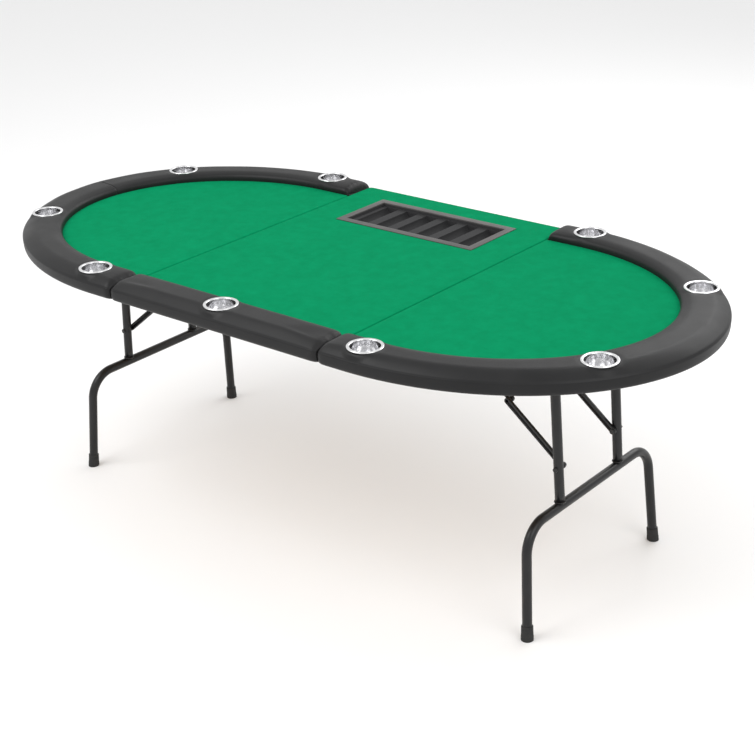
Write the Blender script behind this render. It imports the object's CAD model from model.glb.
"""Folding poker table: camera, light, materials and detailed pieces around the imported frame.

Lengths are in metres. The rail's cross-section is drawn in millimetres, because its
numbers are easier to read that way, and MM turns them into metres.
"""
import math

import bmesh
import bpy
import numpy as np
from mathutils import Matrix, Vector, noise


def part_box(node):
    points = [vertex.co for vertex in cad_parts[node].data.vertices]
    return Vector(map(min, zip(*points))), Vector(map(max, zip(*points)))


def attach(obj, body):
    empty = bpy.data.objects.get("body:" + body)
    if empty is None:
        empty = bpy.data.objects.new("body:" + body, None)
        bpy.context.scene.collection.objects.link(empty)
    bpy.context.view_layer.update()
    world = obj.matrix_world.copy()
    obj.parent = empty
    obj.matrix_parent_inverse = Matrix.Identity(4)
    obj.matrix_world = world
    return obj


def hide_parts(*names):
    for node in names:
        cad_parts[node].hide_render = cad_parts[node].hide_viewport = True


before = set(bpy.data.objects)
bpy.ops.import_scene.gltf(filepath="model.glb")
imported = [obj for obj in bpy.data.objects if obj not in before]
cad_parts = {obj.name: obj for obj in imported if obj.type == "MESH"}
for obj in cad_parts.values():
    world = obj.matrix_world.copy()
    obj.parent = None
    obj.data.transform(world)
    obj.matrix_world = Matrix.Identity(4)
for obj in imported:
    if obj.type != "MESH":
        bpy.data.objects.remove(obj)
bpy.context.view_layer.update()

MM = 0.001
SIDES = (("left", -1), ("right", 1))

# ---- sizes read from the frame ----
MIDDLE_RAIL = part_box("middle_rail")
RIGHT_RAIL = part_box("right_rail")
RIGHT_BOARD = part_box("right_board")
MIDDLE_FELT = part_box("middle_felt")
HALF_L = RIGHT_RAIL[1].x
HALF_W = RIGHT_RAIL[1].y
RAIL_W = MIDDLE_RAIL[1].y - MIDDLE_RAIL[0].y
RAIL_TOP = RIGHT_RAIL[1].z
RAIL_BOTTOM = RIGHT_RAIL[0].z
PANEL_X = MIDDLE_RAIL[1].x
LEAF_X = RIGHT_RAIL[0].x
FELT_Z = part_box("right_felt")[1].z
BOARD_Z = RIGHT_BOARD[0].z
BOARD_TOP = RIGHT_BOARD[1].z

# ---- sizes that the frame's boxes don't hold, as in the CAD ----
STRAIGHT_HALF = 0.430         # where the outer edge of an end begins to curve
FELT_STRAIGHT_HALF = 0.460    # the same for the edge of the felt
END_RX = HALF_L - STRAIGHT_HALF
FELT_RX = 0.497
CUP_HOLE_R = 0.0386
BACK_CORNER_R = 0.014         # corners of the middle section at the dealer's side
PIVOT = Vector((0.752, 0.0, 0.688))    # the right-hand leg frame turns here
LEAN = math.radians(3.5)      # a leg frame's lean outwards
CROSSBAR_DROP = 0.398         # from the pivot to the crossbar, down the leaning frame
UPRIGHT_Y = 0.134
FOOT_Y = 0.300
FOOT_SPLAY = math.radians(4)
BEND_R = 0.075
TUBE_R = 0.0125
WELD_R = 0.0024


# =====================================================================================
# Helpers
# =====================================================================================


def new_object(name, data):
    """An object in the scene that holds a mesh, a camera or a lamp."""
    obj = bpy.data.objects.new(name, data)
    bpy.context.scene.collection.objects.link(obj)
    return obj


def mesh_object(name, verts, faces, smooth=True):
    mesh = bpy.data.meshes.new(name)
    mesh.from_pydata([tuple(v) for v in verts], [], faces)
    mesh.update()
    obj = new_object(name, mesh)
    fix_normals(obj)
    if smooth:
        mesh.shade_smooth()
    return obj


def fix_normals(obj):
    """Joins doubled points and turns every face outwards, or upwards on a sheet."""
    bm = bmesh.new()
    bm.from_mesh(obj.data)
    bmesh.ops.remove_doubles(bm, verts=bm.verts, dist=1e-6)
    bmesh.ops.recalc_face_normals(bm, faces=bm.faces)
    if bm.calc_volume(signed=True) < 0:
        bmesh.ops.reverse_faces(bm, faces=bm.faces)
    bm.to_mesh(obj.data)
    bm.free()


def apply_modifiers(obj):
    bpy.context.view_layer.update()
    graph = bpy.context.evaluated_depsgraph_get()
    mesh = bpy.data.meshes.new_from_object(obj.evaluated_get(graph))
    old = obj.data
    obj.modifiers.clear()
    obj.data = mesh
    bpy.data.meshes.remove(old)


def subdivide(obj, levels=1):
    mod = obj.modifiers.new("smooth", "SUBSURF")
    mod.levels = levels
    mod.render_levels = levels
    apply_modifiers(obj)
    obj.data.shade_smooth()


def finish_piece(obj, body, material, slot, *nodes):
    """Gives a piece its material, its body and the CAD nodes that it stands for."""
    obj.data.materials.clear()
    obj.data.materials.append(material)
    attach(obj, body)
    if nodes:
        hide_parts(*nodes)
    return obj


def smoothstep(x):
    x = min(1.0, max(0.0, x))
    return x * x * (3 - 2 * x)


def arc(cx, cz, rx, rz, start, end, steps):
    """Points on an elliptical arc, angles in degrees, end point included."""
    out = []
    for i in range(steps + 1):
        a = math.radians(start + (end - start) * i / steps)
        out.append((cx + rx * math.cos(a), cz + rz * math.sin(a)))
    return out


def revolve(name, profile, centre, steps=96):
    """A closed ring of faces from (radius, height) points turned about +Z at centre."""
    verts, faces, n = [], [], len(profile)
    for i in range(steps):
        a = 2 * math.pi * i / steps
        verts += [(centre[0] + r * math.cos(a), centre[1] + r * math.sin(a), centre[2] + z)
                  for r, z in profile]
    for i in range(steps):
        j = (i + 1) % steps
        faces += [(i * n + k, j * n + k, j * n + k + 1, i * n + k + 1) for k in range(n - 1)
                  if max(profile[k][0], profile[k + 1][0]) > 0]
    return mesh_object(name, verts, faces)


# =====================================================================================
# Materials
# =====================================================================================


def material(name, colour, roughness, metallic=0.0):
    mat = bpy.data.materials.new(name)
    mat.use_nodes = True
    shader = mat.node_tree.nodes["Principled BSDF"]
    shader.inputs["Base Color"].default_value = (*colour, 1.0)
    shader.inputs["Roughness"].default_value = roughness
    shader.inputs["Metallic"].default_value = metallic
    return mat


def add_node(mat, kind, **values):
    node = mat.node_tree.nodes.new(kind)
    for key, value in values.items():
        if key in node.inputs:
            node.inputs[key].default_value = value
        else:
            setattr(node, key, value)
    return node


def link(mat, a, a_socket, b, b_socket):
    mat.node_tree.links.new(a.outputs[a_socket], b.inputs[b_socket])


def object_coords(mat, scale=(1, 1, 1)):
    """Object coordinates, so that a pattern keeps its real size and needs no UVs."""
    coords = add_node(mat, "ShaderNodeTexCoord")
    mapping = add_node(mat, "ShaderNodeMapping")
    mapping.inputs["Scale"].default_value = scale
    link(mat, coords, "Object", mapping, "Vector")
    return mapping


def noise_texture(mat, vector, scale, detail=4.0, roughness=0.55):
    tex = add_node(mat, "ShaderNodeTexNoise", Scale=scale, Detail=detail, Roughness=roughness)
    link(mat, vector, "Vector", tex, "Vector")
    return tex


def ramp(mat, source, socket, stops):
    """A colour ramp driven by a source; stops are (position, (r, g, b))."""
    node = add_node(mat, "ShaderNodeValToRGB")
    elements = node.color_ramp.elements
    while len(elements) < len(stops):
        elements.new(0.5)
    for element, (position, colour) in zip(elements, stops):
        element.position = position
        element.color = (*colour, 1.0)
    link(mat, source, socket, node, "Fac")
    return node


def shade(mat, texture, dark, light, low=0.35, high=0.65, socket="Fac"):
    """Base colour that wanders between dark and light with a texture."""
    colours = ramp(mat, texture, socket, [(low, dark), (high, light)])
    link(mat, colours, "Color", mat.node_tree.nodes["Principled BSDF"], "Base Color")


def vary_roughness(mat, texture, low, high, socket="Fac"):
    spread = add_node(mat, "ShaderNodeMapRange")
    spread.inputs["From Min"].default_value = 0.3
    spread.inputs["From Max"].default_value = 0.7
    spread.inputs["To Min"].default_value = low
    spread.inputs["To Max"].default_value = high
    link(mat, texture, socket, spread, "Value")
    link(mat, spread, "Result", mat.node_tree.nodes["Principled BSDF"], "Roughness")


def bump(mat, texture, socket, strength, distance, previous=None):
    node = add_node(mat, "ShaderNodeBump", Strength=strength, Distance=distance)
    link(mat, texture, socket, node, "Height")
    if previous:
        link(mat, previous, "Normal", node, "Normal")
    link(mat, node, "Normal", mat.node_tree.nodes["Principled BSDF"], "Normal")
    return node


def leather_material():
    """Matte black synthetic leather: small pebbled grain, faint creases, soft sheen."""
    mat = material("rail_leather", (0.011, 0.011, 0.0115), 0.46)
    mat.node_tree.nodes["Principled BSDF"].inputs["Specular IOR Level"].default_value = 0.24
    where = object_coords(mat)
    grain = add_node(mat, "ShaderNodeTexVoronoi", Scale=900.0)
    grain.feature = "SMOOTH_F1"
    link(mat, where, "Vector", grain, "Vector")
    pores = noise_texture(mat, where, 2200.0, 2.0)
    broad = noise_texture(mat, where, 9.0, 5.0, 0.6)
    shade(mat, broad, (0.0095, 0.0095, 0.010), (0.0130, 0.0130, 0.0134))
    vary_roughness(mat, broad, 0.40, 0.50)
    first = bump(mat, grain, "Distance", 0.28, 0.0004)
    second = bump(mat, pores, "Fac", 0.15, 0.0002, first)
    bump(mat, broad, "Fac", 0.12, 0.002, second)
    return mat


def felt_material():
    """Green speed cloth: short mixed fibres, mottled tone and a fine woven tooth."""
    mat = material("green_felt", (0.001, 0.21, 0.085), 0.95)
    shader = mat.node_tree.nodes["Principled BSDF"]
    shader.inputs["Sheen Weight"].default_value = 0.02
    shader.inputs["Sheen Roughness"].default_value = 0.5
    shader.inputs["Sheen Tint"].default_value = (0.1, 0.9, 0.5, 1)
    shader.inputs["Specular IOR Level"].default_value = 0.02
    where = object_coords(mat)
    fibres = noise_texture(mat, object_coords(mat, (1, 2.5, 1)), 900.0, 6.0, 0.75)
    mottle = noise_texture(mat, where, 28.0, 8.0, 0.7)
    mix = add_node(mat, "ShaderNodeMath", operation="MULTIPLY_ADD")
    mix.inputs[1].default_value = 0.45
    link(mat, fibres, "Fac", mix, 0)
    half = add_node(mat, "ShaderNodeMath", operation="MULTIPLY")
    half.inputs[1].default_value = 0.55
    link(mat, mottle, "Fac", half, 0)
    mat.node_tree.links.new(half.outputs[0], mix.inputs[2])
    shade(mat, mix, (0.0008, 0.190, 0.074), (0.0018, 0.245, 0.100), 0.36, 0.64, "Value")
    weave = add_node(mat, "ShaderNodeTexVoronoi", Scale=1500.0)
    link(mat, where, "Vector", weave, "Vector")
    first = bump(mat, weave, "Distance", 0.35, 0.0004)
    bump(mat, fibres, "Fac", 0.35, 0.0005, first)
    return mat


def steel_material():
    """Polished stainless: bright, with faint spun rings and handling haze."""
    mat = material("polished_steel", (0.80, 0.80, 0.81), 0.14, 1.0)
    where = object_coords(mat)
    haze = noise_texture(mat, where, 60.0, 5.0)
    vary_roughness(mat, haze, 0.09, 0.22)
    rings = noise_texture(mat, object_coords(mat, (6, 6, 900)), 3.0, 2.0)
    bump(mat, rings, "Fac", 0.06, 0.0002)
    return mat


def plated_material():
    """Zinc-plated fixings: greyer than the cups, with a mottled passivation bloom."""
    mat = material("zinc_plate", (0.55, 0.56, 0.56), 0.35, 1.0)
    bloom = noise_texture(mat, object_coords(mat), 240.0, 6.0)
    shade(mat, bloom, (0.42, 0.43, 0.42), (0.62, 0.63, 0.62))
    vary_roughness(mat, bloom, 0.25, 0.5)
    bump(mat, bloom, "Fac", 0.08, 0.0003)
    return mat


def black_steel_material():
    """Blackened steel of the bolts, rivets and pins, worn a little bright on the edges."""
    mat = material("black_steel", (0.03, 0.03, 0.032), 0.38, 0.6)
    wear = noise_texture(mat, object_coords(mat), 300.0, 6.0)
    shade(mat, wear, (0.018, 0.018, 0.019), (0.055, 0.054, 0.053))
    vary_roughness(mat, wear, 0.3, 0.5)
    bump(mat, wear, "Fac", 0.1, 0.0003)
    return mat


def powder_coat_material():
    """Satin black powder coat with its fine orange peel."""
    mat = material("black_powder_coat", (0.007, 0.007, 0.0075), 0.34)
    mat.node_tree.nodes["Principled BSDF"].inputs["Specular IOR Level"].default_value = 0.4
    where = object_coords(mat)
    peel = noise_texture(mat, where, 420.0, 2.0, 0.4)
    wear = noise_texture(mat, where, 24.0, 6.0, 0.65)
    shade(mat, wear, (0.0055, 0.0055, 0.006), (0.010, 0.010, 0.0105))
    vary_roughness(mat, wear, 0.28, 0.40)
    bump(mat, peel, "Fac", 0.22, 0.0005)
    return mat


def rubber_material():
    mat = material("foot_rubber", (0.012, 0.012, 0.012), 0.78)
    where = object_coords(mat)
    dust = noise_texture(mat, where, 90.0, 6.0, 0.7)
    shade(mat, dust, (0.010, 0.010, 0.010), (0.026, 0.025, 0.024))
    vary_roughness(mat, dust, 0.7, 0.9)
    bump(mat, noise_texture(mat, where, 1500.0, 2.0), "Fac", 0.2, 0.0003)
    return mat


def tray_material():
    """Grey pressed metal. Its well, below the flange, is flocked black for the chips."""
    mat = material("tray_grey", (0.065, 0.061, 0.060), 0.45)
    shader = mat.node_tree.nodes["Principled BSDF"]
    where = object_coords(mat)
    cloud = noise_texture(mat, where, 14.0, 5.0)
    flock = noise_texture(mat, where, 1800.0, 4.0, 0.7)
    metal = ramp(mat, cloud, "Fac", [(0.35, (0.052, 0.049, 0.048)), (0.65, (0.074, 0.070, 0.068))])
    nap = ramp(mat, flock, "Fac", [(0.35, (0.010, 0.010, 0.011)), (0.65, (0.024, 0.024, 0.026))])
    place = add_node(mat, "ShaderNodeSeparateXYZ")
    link(mat, add_node(mat, "ShaderNodeTexCoord"), "Object", place, "Vector")
    below = add_node(mat, "ShaderNodeMapRange")
    below.inputs["From Min"].default_value = FELT_Z - 0.0008
    below.inputs["From Max"].default_value = FELT_Z - 0.0018
    link(mat, place, "Z", below, "Value")
    colour = add_node(mat, "ShaderNodeMixRGB")
    link(mat, below, "Result", colour, "Fac")
    link(mat, metal, "Color", colour, "Color1")
    link(mat, nap, "Color", colour, "Color2")
    link(mat, colour, "Color", shader, "Base Color")
    rough = add_node(mat, "ShaderNodeMapRange")
    rough.inputs["To Min"].default_value = 0.42
    rough.inputs["To Max"].default_value = 0.85
    link(mat, below, "Result", rough, "Value")
    link(mat, rough, "Result", shader, "Roughness")
    bump(mat, flock, "Fac", 0.2, 0.0003)
    return mat


def board_material():
    """Bare medium-density fibreboard: even brown with short fibres and pale flecks."""
    mat = material("fibreboard", (0.42, 0.29, 0.17), 0.8)
    where = object_coords(mat)
    fibre = noise_texture(mat, object_coords(mat, (1, 3, 1)), 260.0, 8.0, 0.75)
    cloud = noise_texture(mat, where, 7.0, 4.0)
    shade(mat, fibre, (0.33, 0.22, 0.125), (0.50, 0.36, 0.22))
    vary_roughness(mat, cloud, 0.72, 0.88)
    bump(mat, fibre, "Fac", 0.2, 0.0004)
    return mat


def moulded_material():
    mat = material("moulded_black", (0.02, 0.02, 0.02), 0.55)
    where = object_coords(mat)
    stipple = noise_texture(mat, where, 1600.0, 3.0)
    shade(mat, noise_texture(mat, where, 60.0), (0.016, 0.016, 0.016), (0.028, 0.028, 0.028))
    bump(mat, stipple, "Fac", 0.25, 0.0003)
    return mat


LEATHER = leather_material()
FELT = felt_material()
STEEL = steel_material()
PLATED = plated_material()
BLACK_STEEL = black_steel_material()
COAT = powder_coat_material()
RUBBER = rubber_material()
TRAY_GREY = tray_material()
BOARD = board_material()
MOULDED = moulded_material()

# =====================================================================================
# Camera, floor and light
# =====================================================================================


def make_camera():
    """Stands in front and to the right, turned 40 degrees and looking 24 degrees down."""
    place = (2.6362, -3.0084, 2.1800)
    yaw, pitch, roll = 0.6989, 0.4187, -0.0360
    forward = Vector((-math.sin(yaw) * math.cos(pitch), math.cos(yaw) * math.cos(pitch),
                      -math.sin(pitch)))
    level = Vector((math.cos(yaw), math.sin(yaw), 0))
    up = level.cross(forward)
    right = math.cos(roll) * level + math.sin(roll) * up
    upright = -math.sin(roll) * level + math.cos(roll) * up
    data = bpy.data.cameras.new("camera")
    data.sensor_width = 36.0
    data.lens = 75.3
    data.shift_x = -0.0056
    data.shift_y = -0.0077
    data.clip_end = 100.0
    camera = new_object("camera", data)
    turn = Matrix((right, upright, -forward)).transposed().to_4x4()
    camera.matrix_world = Matrix.Translation(place) @ turn
    bpy.context.scene.camera = camera


def make_floor():
    size = 30.0
    corners = [(-size, -size, 0), (size, -size, 0), (size, size, 0), (-size, size, 0)]
    floor = mesh_object("floor", corners, [(0, 1, 2, 3)], smooth=False)
    floor.data.materials.append(material("pale_floor", (0.9, 0.9, 0.9), 0.6))


def area_light(name, place, target, size, power):
    data = bpy.data.lights.new(name, "AREA")
    data.shape = "RECTANGLE"
    data.size, data.size_y = size
    data.energy = power
    lamp = new_object(name, data)
    lamp.location = place
    lamp.rotation_mode = "QUATERNION"
    lamp.rotation_quaternion = (Vector(target) - Vector(place)).to_track_quat("-Z", "Y")


def make_light():
    world = bpy.data.worlds.new("studio")
    bpy.context.scene.world = world
    world.use_nodes = True
    background = world.node_tree.nodes["Background"]
    background.inputs["Color"].default_value = (1.0, 1.0, 1.0, 1.0)
    background.inputs["Strength"].default_value = 0.9
    top = (0, 0, 0.75)
    area_light("key", (-1.5, -2.6, 4.2), top, (3.0, 2.4), 95)
    area_light("fill", (3.8, -1.0, 3.2), top, (2.5, 2.5), 45)
    area_light("back", (0.5, 4.0, 3.4), top, (4.0, 2.0), 70)
    bpy.context.scene.view_settings.view_transform = "Standard"


make_camera()
make_floor()
make_light()

# =====================================================================================
# Rail
# =====================================================================================

# The pad's section, in millimetres. Insets run inwards from the table's outer face.
END_ROUND = 19.0          # radius of a pad's rounded end
CROWN = 761.0             # the crest's height before the padding swells
CREST = 50.0              # the crest's inset, from which the foam falls to the ridge
SLOPE_DROP = 17.0         # how far it falls before it meets the ridge
RIDGE_Z = 739.5           # the wood's outer edge, which shows as a ridge under the foam
SIDE_FOOT = 725.0         # where the side begins to turn under
PAD_BOARD_TOP = BOARD_TOP / MM + 0.3
PAD_WRAP_TOP = BOARD_Z / MM - 0.3
PAD_BOTTOM = RAIL_BOTTOM / MM + 0.4
CROWN_FALL = ((1.0, 1.7), (0.82, 0.9), (0.6, 0.35), (0.35, 0.05), (0.1, 0.0))  # (share, drop)
RIDGE = ((2.4, 3.0), (1.6, 1.6), (0.4, 0.3), (0.0, -1.6), (0.0, -5.0))    # (inset, height)
SLOPE_STEPS = 9
SEAM_STEPS = (0.3, 1, 2.5, 5, 8, 11, 14, 19, 26, 35, 45)    # from a pad's closed end

# The cover, in metres.
MAX_SWELL = 0.003         # as far as cloth pressure may move it
PAD_CEILING = RAIL_TOP + 0.0008
SIM_FRAMES = 20
GATHER_REACH = 0.038      # how far from a closed end the cover is gathered
GATHER_DEPTH = 0.0013
GATHER_FOOT = FELT_Z - 0.02       # below this the cover is stapled flat
COVER_SEAM = math.radians(5.5)    # where a sewn joint crosses the left pad
SEAM_WIDTH = 0.0022
SEAM_DEPTH = 0.0018
SEAM_REACH = 0.02         # faces this near the joint are cut finer
RIM_SEAT = RAIL_TOP - 0.0010      # the pad's height where a cup's rim lies on it
DIMPLE_R = 0.056          # how far from a cup's centre the pad is pressed down
DIMPLE_SLOPE = 0.012
DIMPLE_SHARE = 0.7        # how closely the pressed pad follows the rim
PAD_TOP_FACE = FELT_Z + 0.009     # points above this belong to the pad's top


def squeezed(points, base, top):
    """Section points with their heights above base scaled so that the crest is at top."""
    scale = (top - base) / (CROWN - base)
    return [(x, base + (z - base) * scale, hold) for x, z, hold in points]


def crown_points(side, inner, foot):
    """From the felt over the rounded inner edge and across the top to the crest."""
    points = [(inner + 0.3, foot + 6, 0.0)]
    points += [(x, z, 0.0) for x, z in arc(inner - 12, CROWN - 15.6, 12, 13, 0, 80, 6)]
    flat = inner - 16 - (side + CREST)
    points += [(side + CREST + share * flat, CROWN - drop, 0.0) for share, drop in CROWN_FALL]
    return points


def slope_points(side):
    """From the crest down to the ridge over the wood's outer edge."""
    shares = [i / SLOPE_STEPS for i in range(SLOPE_STEPS + 1)]
    points = [(side + CREST - (CREST - 2) * t, CROWN - SLOPE_DROP * t ** 3, 0.0) for t in shares]
    points += [(side + x, RIDGE_Z + z, 1.0) for x, z in RIDGE]
    return points


def wrap_points(side):
    """From the foot of the side round under the board and up its edge, where it is stapled."""
    points = [(side + 0.2, SIDE_FOOT, 1.0)]
    points += [(x, z, 0.6) for x, z in arc(side + 9.6, 721, 9, 721 - PAD_BOTTOM, 188, 262, 5)]
    points += [(side + 16, PAD_BOTTOM + 0.4, 1.0), (38, PAD_BOTTOM + 1.6, 1.0),
               (40, PAD_WRAP_TOP, 1.0), (side + 11.6, PAD_WRAP_TOP, 1.0),
               (side + 11.6, PAD_BOARD_TOP, 1.0)]
    return points


def rail_section(shrink):
    """The pad's section as (inset, height, held) in mm; held points are fixed to the wood."""
    top = CROWN - shrink
    side = 0.5 * shrink
    inner = RAIL_W / MM - 0.6 * shrink
    foot = FELT_Z / MM - 1.0
    points = [(inner, PAD_BOARD_TOP, 1.0), (inner, foot, 1.0)]
    points += squeezed(crown_points(side, inner, foot), foot, top)
    points += squeezed(slope_points(side), SIDE_FOOT, top)
    return points + wrap_points(side)


def end_place(inset_mm, angle):
    """A point on the right-hand rounded end, inset from the rail's outer face."""
    inset = inset_mm * MM
    share = inset / RAIL_W
    centre = STRAIGHT_HALF + (FELT_STRAIGHT_HALF - STRAIGHT_HALF) * share
    reach = END_RX + (FELT_RX - END_RX) * share
    return centre + reach * math.cos(angle), (HALF_W - inset) * math.sin(angle)


def end_stations():
    """Places along the right-hand rail: ('line', x, side) or ('arc', angle), seam to seam."""
    line = [("line", LEAF_X + s * MM, -1) for s in (*SEAM_STEPS, 55, 64)]
    steps = 170
    curve = [("arc", math.pi * (i / steps - 0.5)) for i in range(steps + 1)]
    back = [("line", x, 1) for _, x, _ in reversed(line)]
    return line + curve + back


def station_point(station, inset_mm):
    """Where a station's section passes an inset; straight stretches end where arcs begin."""
    kind, where, *side = station
    if kind == "arc":
        return end_place(inset_mm, where)
    blend = 0.06
    stretch = (end_place(inset_mm, math.pi / 2)[0] - LEAF_X) / (STRAIGHT_HALF - LEAF_X)
    x = LEAF_X + (where - LEAF_X) * (1 + (stretch - 1) * smoothstep((where - LEAF_X) / blend))
    return x, side[0] * (HALF_W - inset_mm * MM)


def end_shrink(distance_mm):
    """How far the section draws in near a pad's closed end."""
    if distance_mm >= END_ROUND:
        return 0.0
    rest = END_ROUND - distance_mm
    return END_ROUND - math.sqrt(max(0.0, END_ROUND ** 2 - rest ** 2))


def loft(name, stations, place, distance):
    """A closed pad from a section at each station; returns the object and its held weights."""
    verts, faces, held = [], [], []
    count = len(rail_section(0))
    for station in stations:
        for inset, z, hold in rail_section(end_shrink(distance(station))):
            x, y = place(station, inset)
            verts.append((x, y, z * MM))
            held.append(hold)
    for i in range(len(stations) - 1):
        for k in range(count):
            m = (k + 1) % count
            faces.append((i * count + k, (i + 1) * count + k, (i + 1) * count + m, i * count + m))
    last = (len(stations) - 1) * count
    faces.append(tuple(reversed(range(count))))
    faces.append(tuple(last + k for k in range(count)))
    return mesh_object(name, verts, faces), held


def pull_seam(obj):
    """Draws the cover in along its sewn joint, which lies out beyond the legs."""
    outer = Vector((*end_place(0, COVER_SEAM), 0))
    inner = Vector((*end_place(RAIL_W / MM, COVER_SEAM), 0))
    across = (outer - inner).cross(Vector((0, 0, 1))).normalized()
    bm = bmesh.new()
    bm.from_mesh(obj.data)
    for step in range(-4, 5):
        faces = [f for f in bm.faces if f.calc_center_median().x > PIVOT.x
                 and abs((f.calc_center_median() - outer).dot(across)) < SEAM_REACH]
        edges = dict.fromkeys(e for f in faces for e in f.edges)
        verts = dict.fromkeys(v for f in faces for v in f.verts)
        bmesh.ops.bisect_plane(bm, geom=[*faces, *edges, *verts], dist=1e-7,
                               plane_co=outer + across * SEAM_WIDTH * step / 2, plane_no=across)
    bm.normal_update()
    for v in bm.verts:
        away = abs((v.co - outer).dot(across))
        if v.co.x > PIVOT.x and v.co.z > SIDE_FOOT * MM and away < 3 * SEAM_WIDTH:
            v.co -= v.normal * SEAM_DEPTH * math.exp(-(away / SEAM_WIDTH) ** 2)
    bm.to_mesh(obj.data)
    bm.free()


def seam_distance(station):
    """A station's distance from its pad's closed end, in mm, or at least END_ROUND."""
    if station[0] == "arc":
        return END_ROUND
    return (station[1] - LEAF_X) / MM


def middle_stations():
    """Places along the middle rail, as X."""
    left = [-PANEL_X + s * MM for s in (*SEAM_STEPS, 56, 68)]
    inner = np.linspace(left[-1], -left[-1], 46)[1:-1]
    return left + list(inner) + [-x for x in reversed(left)]


def evened(shift, count, reach=7):
    """A station-by-station move with its ripple along the rail averaged out."""
    rows = shift.reshape(-1, count, 3)
    kernel = np.hanning(2 * reach + 1)
    kernel /= kernel.sum()
    padded = np.pad(rows, ((reach, reach), (0, 0), (0, 0)), mode="edge")
    smooth = sum(k * padded[i:i + len(rows)] for i, k in enumerate(kernel))
    return smooth.reshape(-1, 3)


def pressed_out(obj):
    """Where a short cloth simulation under pressure moves the cover's points."""
    mod = obj.modifiers.new("cover", "CLOTH")
    cloth = mod.settings
    cloth.quality = 6
    cloth.mass = 0.35
    cloth.tension_stiffness = 25
    cloth.compression_stiffness = 25
    cloth.shear_stiffness = 12
    cloth.bending_stiffness = 1.2
    cloth.use_pressure = True
    cloth.uniform_pressure_force = 4.0
    cloth.vertex_group_mass = "held"
    cloth.effector_weights.gravity = 0.0
    mod.collision_settings.use_collision = False
    mod.point_cache.frame_start = 1
    mod.point_cache.frame_end = SIM_FRAMES
    scene = bpy.context.scene
    for step in range(SIM_FRAMES):
        scene.frame_set(step + 1)
    graph = bpy.context.evaluated_depsgraph_get()
    moved = np.array([v.co for v in obj.evaluated_get(graph).data.vertices])
    obj.modifiers.remove(mod)
    scene.frame_set(1)
    return moved


def puff(obj, held):
    """Swells the cover a little, held along its stapled edges."""
    group = obj.vertex_groups.new(name="held")
    for index, weight in enumerate(held):
        group.add([index], weight, "REPLACE")
    start = np.array([v.co for v in obj.data.vertices])
    shift = pressed_out(obj) - start
    length = np.linalg.norm(shift, axis=1, keepdims=True)
    shift *= np.minimum(1.0, MAX_SWELL / np.maximum(length, 1e-9))
    end = start + evened(shift, len(rail_section(0)))
    end[:, 2] = np.minimum(end[:, 2], PAD_CEILING)
    obj.data.vertices.foreach_set("co", end.astype(np.float32).ravel())
    obj.data.update()


def pucker(obj, end_distance):
    """Small gathers where the cover is pulled in round a pad's closed ends."""
    for v in obj.data.vertices:
        near = 1 - end_distance(v.co) / GATHER_REACH
        if near <= 0 or v.co.z < GATHER_FOOT:
            continue
        fold = noise.noise(Vector((v.co.y * 75, v.co.z * 75, 1.7)))
        v.co -= v.normal * GATHER_DEPTH * abs(fold) * smoothstep(near)
    obj.data.update()


def press_dimples(obj, spots):
    """Presses the pad down where each cup's rim lies on it."""
    for v in obj.data.vertices:
        for x, y in spots:
            reach = math.hypot(v.co.x - x, v.co.y - y)
            if reach < DIMPLE_R and v.co.z > PAD_TOP_FACE:
                pressed = DIMPLE_SHARE * (RIM_SEAT - v.co.z)
                v.co.z += pressed * smoothstep((DIMPLE_R - reach) / DIMPLE_SLOPE)


def drill(obj, spots):
    """Opens the rail for the cups."""
    low, high = -0.03, 0.05
    for x, y in spots:
        cutter = revolve("cutter", [(0, low), (CUP_HOLE_R, low), (CUP_HOLE_R, high), (0, high)],
                         (x, y, FELT_Z))
        mod = obj.modifiers.new("hole", "BOOLEAN")
        mod.object = cutter
        mod.operation = "DIFFERENCE"
        mod.solver = "MANIFOLD"
        apply_modifiers(obj)
        bpy.data.objects.remove(cutter)
    obj.data.shade_smooth()


CUP_NAMES = ("front", "end_front", "end_back", "back")


def cup_spot(node):
    """The middle of a cup holder, seen from above."""
    low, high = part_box(node)
    return (low.x + high.x) / 2, (low.y + high.y) / 2


def pad_cover(name, stations, place, closed_end, end_distance):
    """A pad with its cover swollen and gathered at its closed ends."""
    rail, held = loft(name, stations, place, closed_end)
    puff(rail, held)
    subdivide(rail)
    pucker(rail, end_distance)
    return rail


def finish_rail(rail, body, node, cups):
    spots = [cup_spot(cup) for cup in cups]
    press_dimples(rail, spots)
    drill(rail, spots)
    finish_piece(rail, body, LEATHER, "rail", node)


def make_rails():
    rail = pad_cover("rail_pad_middle", middle_stations(),
                     lambda x, inset: (x, -(HALF_W - inset * MM)),
                     lambda x: (PANEL_X - abs(x)) / MM,
                     lambda point: PANEL_X - abs(point.x))
    finish_rail(rail, "middle", "middle_rail", ["middle_cup_holder"])
    for side, sign in SIDES:
        rail = pad_cover(f"rail_pad_{side}", end_stations(), station_point, seam_distance,
                         lambda point: point.x - LEAF_X)
        if sign < 0:
            pull_seam(rail)
            rail.data.transform(Matrix.Scale(-1, 4, (1, 0, 0)))
            rail.data.flip_normals()
        cups = [f"{side}_{name}_cup_holder" for name in CUP_NAMES]
        finish_rail(rail, f"{side}_leaf", f"{side}_rail", cups)


make_rails()

# =====================================================================================
# Cup holders
# =====================================================================================

CUP_RIM_R = 0.0448
CUP_WALL_R = 0.0376
CUP_FLOOR_R = CUP_WALL_R - 0.0014     # the wall draws in a little on its way down
CUP_SHEET = 0.0009                    # thickness of the pressed steel
CUP_COVE = 0.005                      # radius between the wall and the floor
RIM_LIP = (CUP_RIM_R - 0.0035, -0.0022)


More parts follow.
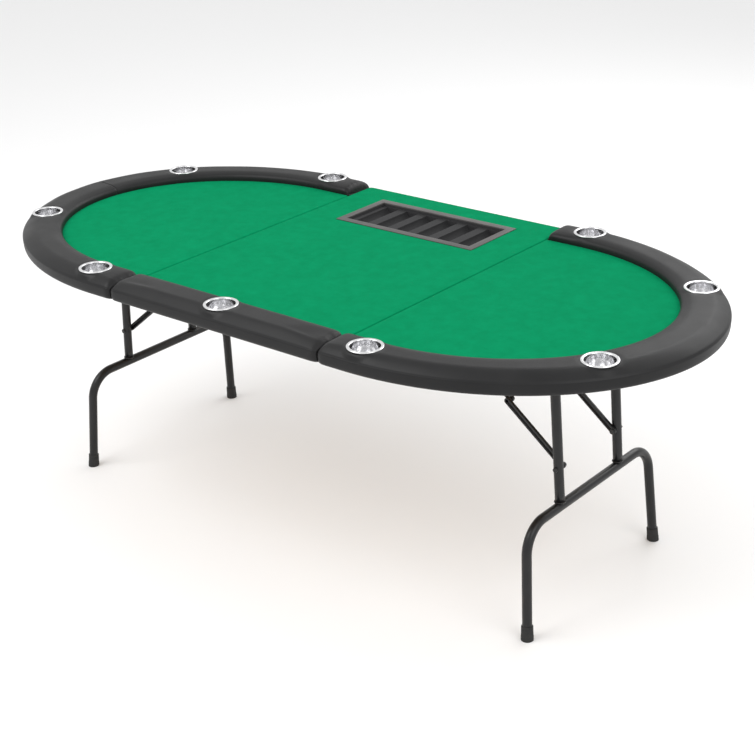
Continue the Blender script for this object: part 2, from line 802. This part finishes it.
def cup_profile(depth):
    """Half section of a spun cup: rolled rim, straight wall, coved floor, one thickness."""
    floor = CUP_SHEET - depth
    rim = [RIM_LIP]
    rim += arc(CUP_RIM_R - 0.0022, 0.0, 0.0022, 0.0020, -80, 90, 10)
    rim += [(CUP_RIM_R - 0.0050, 0.00215), (CUP_WALL_R + 0.0012, 0.0018)]
    rim += arc(CUP_WALL_R + 0.0012, -0.0006, 0.0024, 0.0024, 90, 180, 6)
    inside = [(CUP_WALL_R - 0.0012, -0.012), (CUP_FLOOR_R, -0.030)]
    inside += arc(CUP_FLOOR_R - CUP_COVE, floor + CUP_COVE, CUP_COVE, CUP_COVE, 0, -90, 6)
    inside += [(0.026, floor), (0.0245, floor + 0.0006), (0.020, floor + 0.0008),
               (0.0185, floor), (0, floor)]
    under = [(0, -depth), (CUP_FLOOR_R - CUP_COVE, -depth)]
    under += arc(CUP_FLOOR_R - CUP_COVE, -depth + 0.0055, 0.0058, 0.0055, -90, 0, 6)
    under += [(CUP_WALL_R - 0.0002, -0.030), (CUP_WALL_R - 0.0002, -0.006),
              (CUP_WALL_R + 0.0006, -0.0016), RIM_LIP]
    return rim + inside + under


def make_cup(node, body):
    depth = RAIL_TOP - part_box(node)[0].z - 0.0002
    cup = revolve(node.replace("_holder", ""), cup_profile(depth), (*cup_spot(node), RAIL_TOP))
    finish_piece(cup, body, STEEL, "cup", node)


def make_cups():
    make_cup("middle_cup_holder", "middle")
    for side, _ in SIDES:
        for name in CUP_NAMES:
            make_cup(f"{side}_{name}_cup_holder", f"{side}_leaf")


make_cups()

# =====================================================================================
# Felt
# =====================================================================================

# How the cloth turns down over an edge, as (inset from the edge, drop).
ROLL = ((0.0060, 0.0), (0.0030, 0.0003), (0.0014, 0.0010), (0.0005, 0.0022), (0.0, 0.0045),
        (-0.0003, 0.0100), (-0.0003, 0.0170))
# The dealer's edge is open to view, so there it goes on down and is stapled underneath.
BACK_ROLL = ROLL[:-2] + ((0.0, 0.0100), (0.0, 0.0170), (0.0, 0.0236), (0.0006, 0.0248),
                         (0.0022, 0.0254), (0.0080, 0.0256), (0.0160, 0.0256))
TRAY_CUT = (0.2195, 0.2555, 0.4285)     # the tray's opening: half length, and its two Y edges
UNDER_PAD = 0.0015        # how far the felt runs in under the pads
PAD_TUCK = 0.0012         # and how far it dips there


def roll_length(roll):
    """How much cloth a roll takes beyond the edge that it turns over."""
    steps = zip(roll, roll[1:])
    return sum(math.dist(a, b) for a, b in steps) - roll[0][0]


def grid_faces(rows, columns, keep=lambda i, j: True):
    return [(i * columns + j, (i + 1) * columns + j, (i + 1) * columns + j + 1, i * columns + j + 1)
            for i in range(rows - 1) for j in range(columns - 1) if keep(i, j)]


def felt_wave(x, y):
    """The cloth's own faint unevenness, a fraction of a millimetre."""
    return 0.00025 * noise.noise(Vector((x * 9, y * 9, 0.3)))


def leaf_columns(reach):
    """An end felt's lines across the table, as (x, drop), from its seam edge to its tip."""
    steps = 64
    columns = [(LEAF_X + back, drop) for back, drop in reversed(ROLL)]
    columns += [(x, 0.0) for x in np.linspace(LEAF_X + 0.014, FELT_STRAIGHT_HALF, 12)]
    columns += [(FELT_STRAIGHT_HALF + reach * math.sin(math.radians(88.5 * i / steps)), 0.0)
                for i in range(1, steps + 1)]
    return columns


def leaf_felt(side, sign):
    """An end's felt: stretched flat, tucked under the pad and rolled over the seam edge."""
    half = HALF_W - RAIL_W + UNDER_PAD
    reach = FELT_RX + UNDER_PAD
    columns = leaf_columns(reach)
    rows = 72
    verts = []
    for i in range(rows + 1):
        v = math.sin(math.pi / 2 * (2 * i / rows - 1))
        tuck = PAD_TUCK * smoothstep((abs(v) - 0.995) / 0.005)
        for x, drop in columns:
            past = max(0.0, (x - FELT_STRAIGHT_HALF) / reach)
            y = v * half * math.sqrt(max(0.0, 1 - past * past))
            wave = felt_wave(x * sign, y) * (drop == 0)
            verts.append((sign * x, y, FELT_Z - drop - tuck + wave))
    felt = mesh_object(f"felt_{side}", verts, grid_faces(rows + 1, len(columns)))
    finish_piece(felt, f"{side}_leaf", FELT, "felt", f"{side}_felt")
    straight_part = FELT_STRAIGHT_HALF - LEAF_X + roll_length(ROLL)


def middle_columns(cut_x):
    """The middle felt's lines across the table, as (x, drop), from seam to seam."""
    half = [(x, 0.0) for x in np.linspace(0, cut_x, 20)][1:-1]
    half += [(x, 0.0) for x in np.linspace(cut_x, PANEL_X - 0.012, 12)]
    half += [(PANEL_X - inset, drop) for inset, drop in ROLL]
    return [(-x, drop) for x, drop in reversed(half)] + [(0.0, 0.0)] + half


def middle_rows(cut_lo, cut_hi, back):
    """The middle felt's lines along the table, as (y, drop), from the pad to the dealer."""
    rows = [(y, 0.0) for y in np.linspace(-(HALF_W - RAIL_W) - UNDER_PAD, cut_lo, 44)]
    rows += [(y, 0.0) for y in np.linspace(cut_lo, cut_hi, 16)[1:]]
    rows += [(y, 0.0) for y in np.linspace(cut_hi, back - BACK_CORNER_R, 10)[1:]]
    return rows + [(back - 0.010, 0.0)] + [(back - inset, drop) for inset, drop in BACK_ROLL]


def middle_felt():
    """The middle's felt, cut out for the tray and wrapped down the open back edge."""
    back = MIDDLE_FELT[1].y
    cut_x, cut_lo, cut_hi = TRAY_CUT
    columns = middle_columns(cut_x)
    rows = middle_rows(cut_lo, cut_hi, back)
    verts = []
    for y, row_drop in rows:
        for x, column_drop in columns:
            past = max(0.0, abs(x) - (PANEL_X - BACK_CORNER_R))
            pull = BACK_CORNER_R - math.sqrt(max(0.0, BACK_CORNER_R ** 2 - past * past))
            near = smoothstep((y - (back - BACK_CORNER_R)) / BACK_CORNER_R)
            drop = max(row_drop, column_drop)
            verts.append((x, y - pull * near, FELT_Z - drop + felt_wave(x, y) * (drop == 0)))
    count = len(columns)
    open_cut = {(i, j) for i in range(len(rows) - 1) for j in range(count - 1)
                if abs(columns[j][0] + columns[j + 1][0]) / 2 < cut_x
                and cut_lo < (rows[i][0] + rows[i + 1][0]) / 2 < cut_hi}
    faces = grid_faces(len(rows), count, lambda i, j: (i, j) not in open_cut)
    felt = mesh_object("felt_middle", verts, faces)
    finish_piece(felt, "middle", FELT, "felt", "middle_felt")
    width = 2 * (PANEL_X + roll_length(ROLL))
    length = back + HALF_W - RAIL_W + roll_length(BACK_ROLL)


def make_felts():
    middle_felt()
    for side, sign in SIDES:
        leaf_felt(side, sign)


make_felts()

# =====================================================================================
# Leg frames
# =====================================================================================

FOOT_DROP = PIVOT.z / math.cos(LEAN)    # from the pivot to the floor, down the leaning frame
CAP_SOLE = 0.006          # rubber under the tube's end
CAP_HEIGHT = 0.038
CAP_R = 0.0160
# A foot cap's ribs as (distance down from its top, radius).
CAP_RINGS = ((0.0, 0.0134), (0.0006, 0.0144), (0.002, 0.0150), (0.006, 0.0151), (0.007, 0.0146),
             (0.008, 0.0151), (0.012, 0.0152), (0.013, 0.0147), (0.014, 0.0152), (0.018, 0.0153),
             (0.019, 0.0148), (0.020, 0.0153), (0.025, 0.0155), (0.0275, CAP_R), (0.033, CAP_R))

def leg_point(y, drop, sign):
    """A point in a leg frame's leaning plane, at y and drop down from the pivot."""
    return Vector((sign * (PIVOT.x + drop * math.sin(LEAN)), y, PIVOT.z - drop * math.cos(LEAN)))


def bend_path():
    """Half the foot tube's centre line as (y, drop): crossbar, bend and splayed foot."""
    turn = math.pi / 2 - FOOT_SPLAY
    lower = (FOOT_DROP - CROSSBAR_DROP - BEND_R * (1 - math.cos(turn))) / math.sin(turn)
    bend_y = FOOT_Y - BEND_R * math.sin(turn) - lower * math.cos(turn)
    points = [(y, CROSSBAR_DROP) for y in np.linspace(0, bend_y, 14)]
    for a in np.linspace(0, turn, 25)[1:]:
        points.append((bend_y + BEND_R * math.sin(a), CROSSBAR_DROP + BEND_R * (1 - math.cos(a))))
    y0, d0 = points[-1]
    for share in np.linspace(0, 1, 12)[1:]:
        reach = (lower - CAP_SOLE) * share
        points.append((y0 + reach * math.cos(turn), d0 + reach * math.sin(turn)))
    return points


def bar_faces(rings, steps):
    """Faces that join rings of points into a closed bar with flat ends."""
    faces = []
    for i in range(rings - 1):
        for k in range(steps):
            m = (k + 1) % steps
            faces.append((i * steps + k, i * steps + m, (i + 1) * steps + m, (i + 1) * steps + k))
    last = (rings - 1) * steps
    faces.append(tuple(reversed(range(steps))))
    faces.append(tuple(last + k for k in range(steps)))
    return faces


def sweep(name, path, radius, steps=28):
    """A round bar along a smooth path."""
    verts = []
    side = None
    for i, point in enumerate(path):
        ahead = (path[min(i + 1, len(path) - 1)] - path[max(i - 1, 0)]).normalized()
        if side is None:
            side = ahead.orthogonal().normalized()
        side = (side - ahead * side.dot(ahead)).normalized()
        other = ahead.cross(side)
        for k in range(steps):
            a = 2 * math.pi * k / steps
            verts.append(point + radius * (math.cos(a) * side + math.sin(a) * other))
    return mesh_object(name, verts, bar_faces(len(path), steps))


def weld_bead(centre, axis, radius, bead, steps=64):
    """Vertices and faces of a rippled fillet of weld round a tube."""
    axis = axis.normalized()
    side = axis.orthogonal().normalized()
    other = axis.cross(side)
    verts, faces, ring = [], [], 8
    for i in range(steps):
        a = 2 * math.pi * i / steps
        out = math.cos(a) * side + math.sin(a) * other
        swell = bead * (1 + 0.18 * math.sin(16 * a) + 0.06 * noise.noise(centre * 90 + out * 4))
        for k in range(ring):
            b = 2 * math.pi * k / ring
            verts.append(centre + out * (radius + swell * math.cos(b)) + axis * swell * math.sin(b))
    for i in range(steps):
        j = (i + 1) % steps
        for k in range(ring):
            m = (k + 1) % ring
            faces.append((i * ring + k, j * ring + k, j * ring + m, i * ring + m))
    return verts, faces


def add_parts(obj, parts):
    """Adds loose (vertices, faces) to an object's mesh."""
    bm = bmesh.new()
    bm.from_mesh(obj.data)
    for verts, faces in parts:
        made = [bm.verts.new(v) for v in verts]
        for face in faces:
            bm.faces.new([made[k] for k in face])
    bmesh.ops.recalc_face_normals(bm, faces=bm.faces)
    bm.to_mesh(obj.data)
    bm.free()
    obj.data.shade_smooth()


def make_uprights(side, sign):
    down = leg_point(0, 1, sign) - leg_point(0, 0, sign)
    buried = TUBE_R * 0.9     # its ends run into the tubes that it is welded to
    drops = np.linspace(buried, CROSSBAR_DROP - buried, 16)
    for end, y in (("front", -UPRIGHT_Y), ("back", UPRIGHT_Y)):
        tube = sweep(f"upright_{side}_{end}", [leg_point(y, d, sign) for d in drops], TUBE_R)
        beads = [weld_bead(leg_point(y, drop, sign), down, TUBE_R, WELD_R)
                 for drop in (CROSSBAR_DROP - TUBE_R - 0.0002, TUBE_R + 0.0002)]
        add_parts(tube, beads)
        finish_piece(tube, f"{side}_leg", COAT, "tube", f"{side}_{end}_upright")


def make_foot_tube(side, sign):
    half = [leg_point(y, d, sign) for y, d in bend_path()]
    path = [Vector((p.x, -p.y, p.z)) for p in reversed(half[1:])] + half
    tube = sweep(f"foot_tube_{side}", path, TUBE_R)
    finish_piece(tube, f"{side}_leg", COAT, "tube", f"{side}_foot_tube")


def foot_cap(name, foot, up, floor):
    """A ribbed cap along a leg's direction, cut level at the floor."""
    steps = 56
    side = up.orthogonal().normalized()
    other = up.cross(side)
    rings = [(CAP_HEIGHT - drop, radius) for drop, radius in CAP_RINGS]
    rings += [(0.0025, CAP_R), (-0.004, CAP_R)]
    verts = []
    for height, radius in rings:
        for k in range(steps):
            a = 2 * math.pi * k / steps
            point = foot + up * height + radius * (math.cos(a) * side + math.sin(a) * other)
            point.z = max(point.z, floor)
            verts.append(point)
    return mesh_object(name, verts, bar_faces(len(rings), steps))


def make_foot_caps(side, sign):
    (y0, d0), (y1, d1) = bend_path()[-2:]
    slope = (y1 - y0) / (d1 - d0)
    rise = 0.1
    for end, flip in (("front", -1), ("back", 1)):
        foot = leg_point(flip * FOOT_Y, FOOT_DROP, sign)
        above = leg_point(flip * (FOOT_Y - slope * rise), FOOT_DROP - rise, sign)
        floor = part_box(f"{side}_{end}_foot_cap")[0].z
        cap = foot_cap(f"foot_cap_{side}_{end}", foot, (above - foot).normalized(), floor)
        finish_piece(cap, f"{side}_leg", RUBBER, "foot", f"{side}_{end}_foot_cap")


def make_legs():
    for side, sign in SIDES:
        make_uprights(side, sign)
        make_foot_tube(side, sign)
        make_foot_caps(side, sign)


make_legs()

# =====================================================================================
# Finish of the CAD pieces that stay
# =====================================================================================

# The material of each piece whose name holds the given word.
CAD_FINISH = (
    ("board", BOARD), ("chip_tray", TRAY_GREY), ("hinge_bodies", PLATED),
    ("hinge_sockets", PLATED), ("brackets", COAT), ("pins", BLACK_STEEL), ("clips", MOULDED),
    ("screws", PLATED), ("bolts", BLACK_STEEL), ("rivets", BLACK_STEEL), ("tube", COAT),
    ("link", COAT),
)
BOARD_EDGE = 0.0012
PART_EDGE = 0.0006


def soften_edges(obj, width):
    """Breaks a CAD piece's sharp edges with modifiers, which leave its mesh alone."""
    weld = obj.modifiers.new("weld", "WELD")
    weld.merge_threshold = 1e-5
    edges = obj.modifiers.new("edges", "BEVEL")
    edges.width = width
    edges.segments = 3
    edges.limit_method = "ANGLE"
    edges.angle_limit = math.radians(40)
    edges.use_clamp_overlap = True
    obj.data.shade_smooth()


def dress_cad():
    """Gives every CAD piece that is still seen its material and soft edges."""
    for name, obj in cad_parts.items():
        if obj.hide_render:
            continue
        for word, mat in CAD_FINISH:
            if word in name:
                obj.data.materials.clear()
                obj.data.materials.append(mat)
                soften_edges(obj, BOARD_EDGE if word == "board" else PART_EDGE)
                break


dress_cad()
